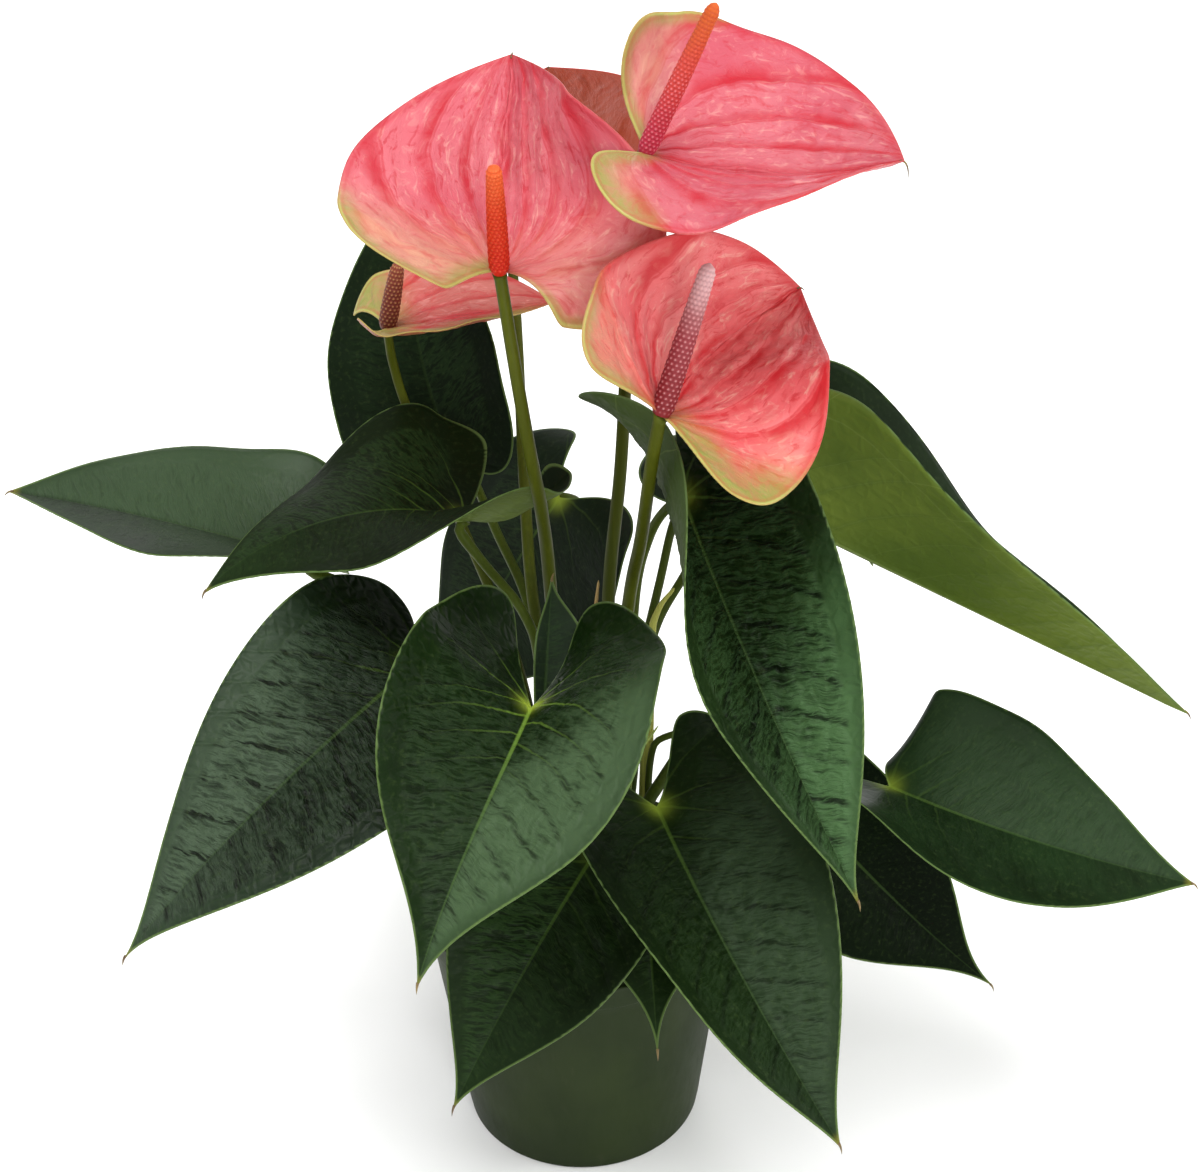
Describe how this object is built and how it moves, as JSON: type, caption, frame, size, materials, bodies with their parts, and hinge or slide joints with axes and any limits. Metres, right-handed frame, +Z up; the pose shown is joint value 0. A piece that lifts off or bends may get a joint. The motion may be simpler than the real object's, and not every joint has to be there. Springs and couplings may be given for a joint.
{
  "type": "potted anthurium",
  "caption": "Potted anthurium with heart-shaped leaves on long petioles and pink spathes with upright spadices, in a tapered nursery pot.",
  "frame": {"origin": "middle of the pot's underside, on the surface it stands on", "axes": "+Z up, -Y towards the front of the plant, +X to the right seen from the front"},
  "size_m": [0.4293, 0.3083, 0.447],
  "materials": {
    "pot": "satin dark olive plastic",
    "soil": "rough potting soil",
    "crown": "dry fibrous stem base",
    "sheath_olive": "waxy leaf sheath",
    "sheath_pink": "waxy leaf sheath",
    "sheath_thin": "waxy leaf sheath",
    "sheath_dry": "dry papery sheath",
    "leaf": "glossy waxy dark green leaf",
    "stalk": "smooth olive green stalk",
    "spathe": "glossy waxy pink spathe",
    "spathe_turned": "waxy orange brown underside",
    "bloom_left_spadix": "beaded orange spadix",
    "bloom_top_spadix": "beaded magenta to orange spadix",
    "bloom_right_spadix": "beaded maroon to pink spadix",
    "bloom_small_spadix": "beaded maroon spadix",
    "bloom_turned_spadix": "beaded spadix"
  },
  "bodies": {
    "root": {"pot": "pot", "soil": "soil", "crown": "crown", "sheath_olive": "sheath_olive", "sheath_pink": "sheath_pink", "sheath_thin": "sheath_thin", "sheath_dry": "sheath_dry", "leaf_front_blade": "leaf", "leaf_front_petiole": "stalk", "leaf_front_left_blade": "leaf", "leaf_front_left_petiole": "stalk", "leaf_left_blade": "leaf", "leaf_left_petiole": "stalk", "leaf_far_left_blade": "leaf", "leaf_far_left_petiole": "stalk", "leaf_back_left_blade": "leaf", "leaf_back_left_petiole": "stalk", "leaf_back_centre_blade": "leaf", "leaf_back_centre_petiole": "stalk", "leaf_right_hanging_blade": "leaf", "leaf_right_hanging_petiole": "stalk", "leaf_far_right_blade": "leaf", "leaf_far_right_petiole": "stalk", "leaf_right_low_blade": "leaf", "leaf_right_low_petiole": "stalk", "leaf_right_shadow_blade": "leaf", "leaf_right_shadow_petiole": "stalk", "leaf_low_right_blade": "leaf", "leaf_low_right_petiole": "stalk", "leaf_low_left_blade": "leaf", "leaf_low_left_petiole": "stalk", "leaf_low_centre_blade": "leaf", "leaf_low_centre_petiole": "stalk", "leaf_young_blade": "leaf", "leaf_young_petiole": "stalk", "leaf_back_right_blade": "leaf", "leaf_back_right_petiole": "stalk", "bloom_left_spathe": "spathe", "bloom_left_spadix": "bloom_left_spadix", "bloom_left_peduncle": "stalk", "bloom_top_spathe": "spathe", "bloom_top_spadix": "bloom_top_spadix", "bloom_top_peduncle": "stalk", "bloom_right_spathe": "spathe", "bloom_right_spadix": "bloom_right_spadix", "bloom_right_peduncle": "stalk", "bloom_small_spathe": "spathe", "bloom_small_spadix": "bloom_small_spadix", "bloom_small_peduncle": "stalk", "bloom_turned_spathe": "spathe_turned", "bloom_turned_spadix": "bloom_turned_spadix", "bloom_turned_peduncle": "stalk"}
  },
  "joints": []
}
